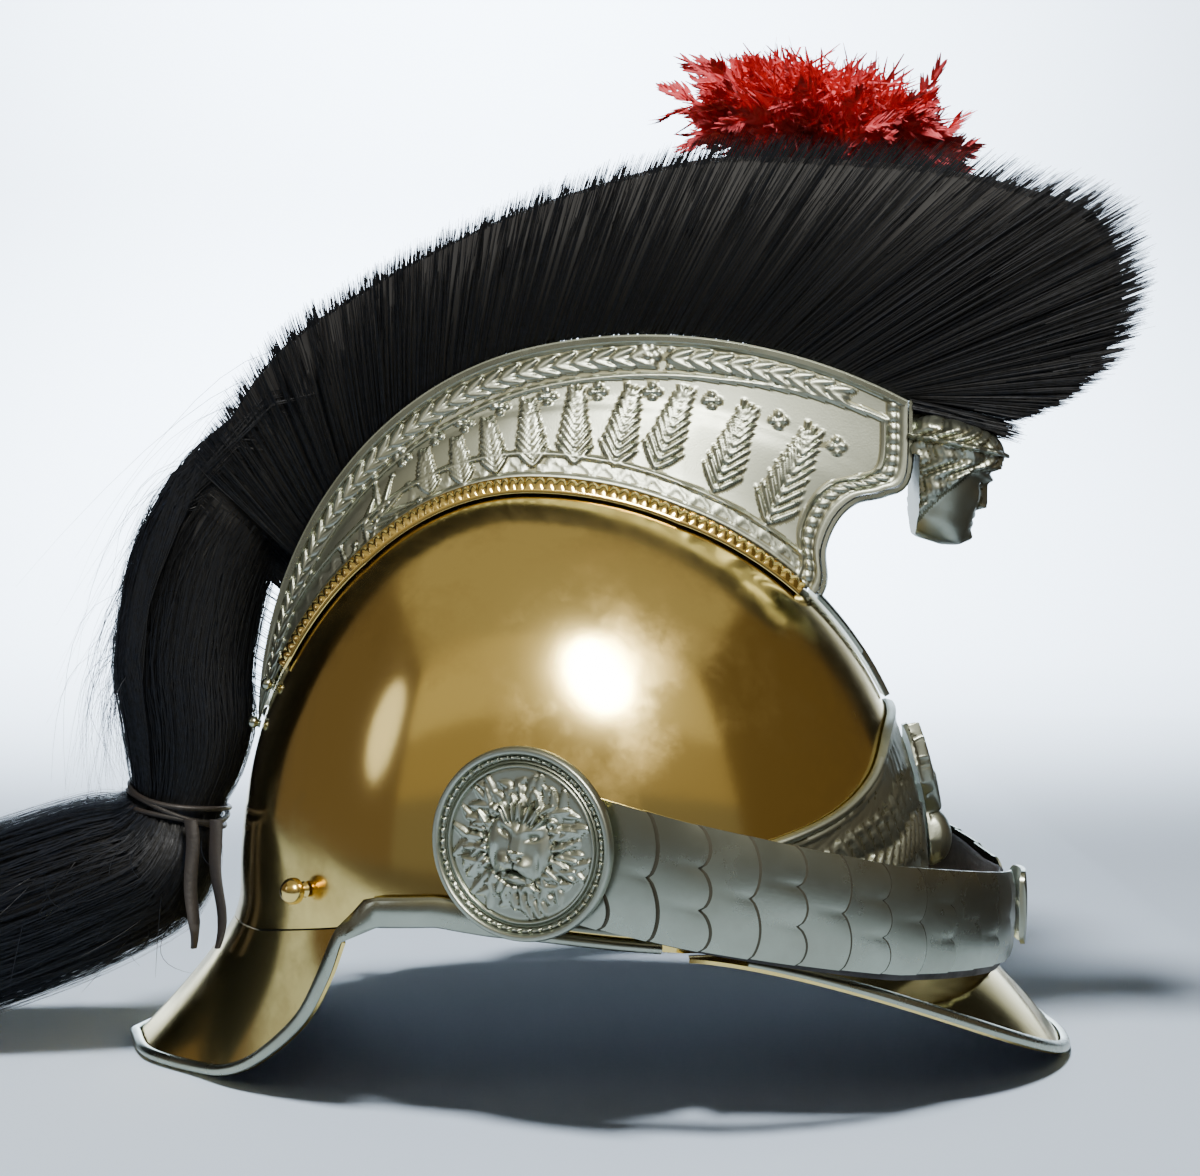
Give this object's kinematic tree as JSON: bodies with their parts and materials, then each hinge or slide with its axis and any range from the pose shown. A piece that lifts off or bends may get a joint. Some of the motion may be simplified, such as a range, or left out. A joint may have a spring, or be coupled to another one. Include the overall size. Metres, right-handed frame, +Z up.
{
  "type": "mounted gendarme helmet",
  "caption": "Brass parade helmet with a white-metal crest, black horsehair brush and tied mane, red feather plume, lion rosettes and a scaled chin strap.",
  "frame": {"origin": "centre of the bounding box's foot, on the surface the helmet rests on", "axes": "+X to the front of the helmet, +Y to the wearer's left, +Z up"},
  "size_m": [0.5376, 0.2428, 0.3629],
  "materials": {
    "brass": "polished",
    "white_metal": "worn polish, stamped relief",
    "horsehair": "black hair, slight sheen",
    "leather": "worn black",
    "feather": "matte scarlet"
  },
  "bodies": {
    "root": {"skull": "brass", "neck_guard": "brass", "visor": "brass", "crest_base_band_right": "brass", "crest_base_band_left": "brass", "neck_stud_right": "brass", "neck_stud_left": "brass", "neck_guard_rim": "white_metal", "visor_rim": "white_metal", "front_plate": "white_metal", "front_emblem": "white_metal", "crest_side_right": "white_metal", "crest_side_left": "white_metal", "crest_top_band": "white_metal", "crest_front_strip": "white_metal", "crest_mask": "white_metal", "rosette_right": "white_metal", "rosette_left": "white_metal", "chin_clasp": "white_metal", "plume_socket": "white_metal", "crest_stud_upper_right": "white_metal", "crest_stud_upper_left": "white_metal", "crest_stud_lower_right": "white_metal", "crest_stud_lower_left": "white_metal", "chin_scale_right_01": "white_metal", "chin_scale_right_02": "white_metal", "chin_scale_right_03": "white_metal", "chin_scale_right_04": "white_metal", "chin_scale_right_05": "white_metal", "chin_scale_right_06": "white_metal", "chin_scale_right_07": "white_metal", "chin_scale_right_08": "white_metal", "chin_scale_right_09": "white_metal", "chin_scale_right_10": "white_metal", "chin_scale_right_11": "white_metal", "chin_scale_right_12": "white_metal", "chin_scale_right_13": "white_metal", "chin_scale_right_14": "white_metal", "chin_scale_left_01": "white_metal", "chin_scale_left_02": "white_metal", "chin_scale_left_03": "white_metal", "chin_scale_left_04": "white_metal", "chin_scale_left_05": "white_metal", "chin_scale_left_06": "white_metal", "chin_scale_left_07": "white_metal", "chin_scale_left_08": "white_metal", "chin_scale_left_09": "white_metal", "chin_scale_left_10": "white_metal", "chin_scale_left_11": "white_metal", "chin_scale_left_12": "white_metal", "chin_scale_left_13": "white_metal", "chin_scale_left_14": "white_metal", "hair_brush": "horsehair", "hair_mane": "horsehair", "chin_backing": "leather", "mane_tie": "leather", "tie_lace_1": "leather", "tie_lace_2": "leather", "plume": "feather", "plume_stem": "feather"}
  },
  "joints": []
}
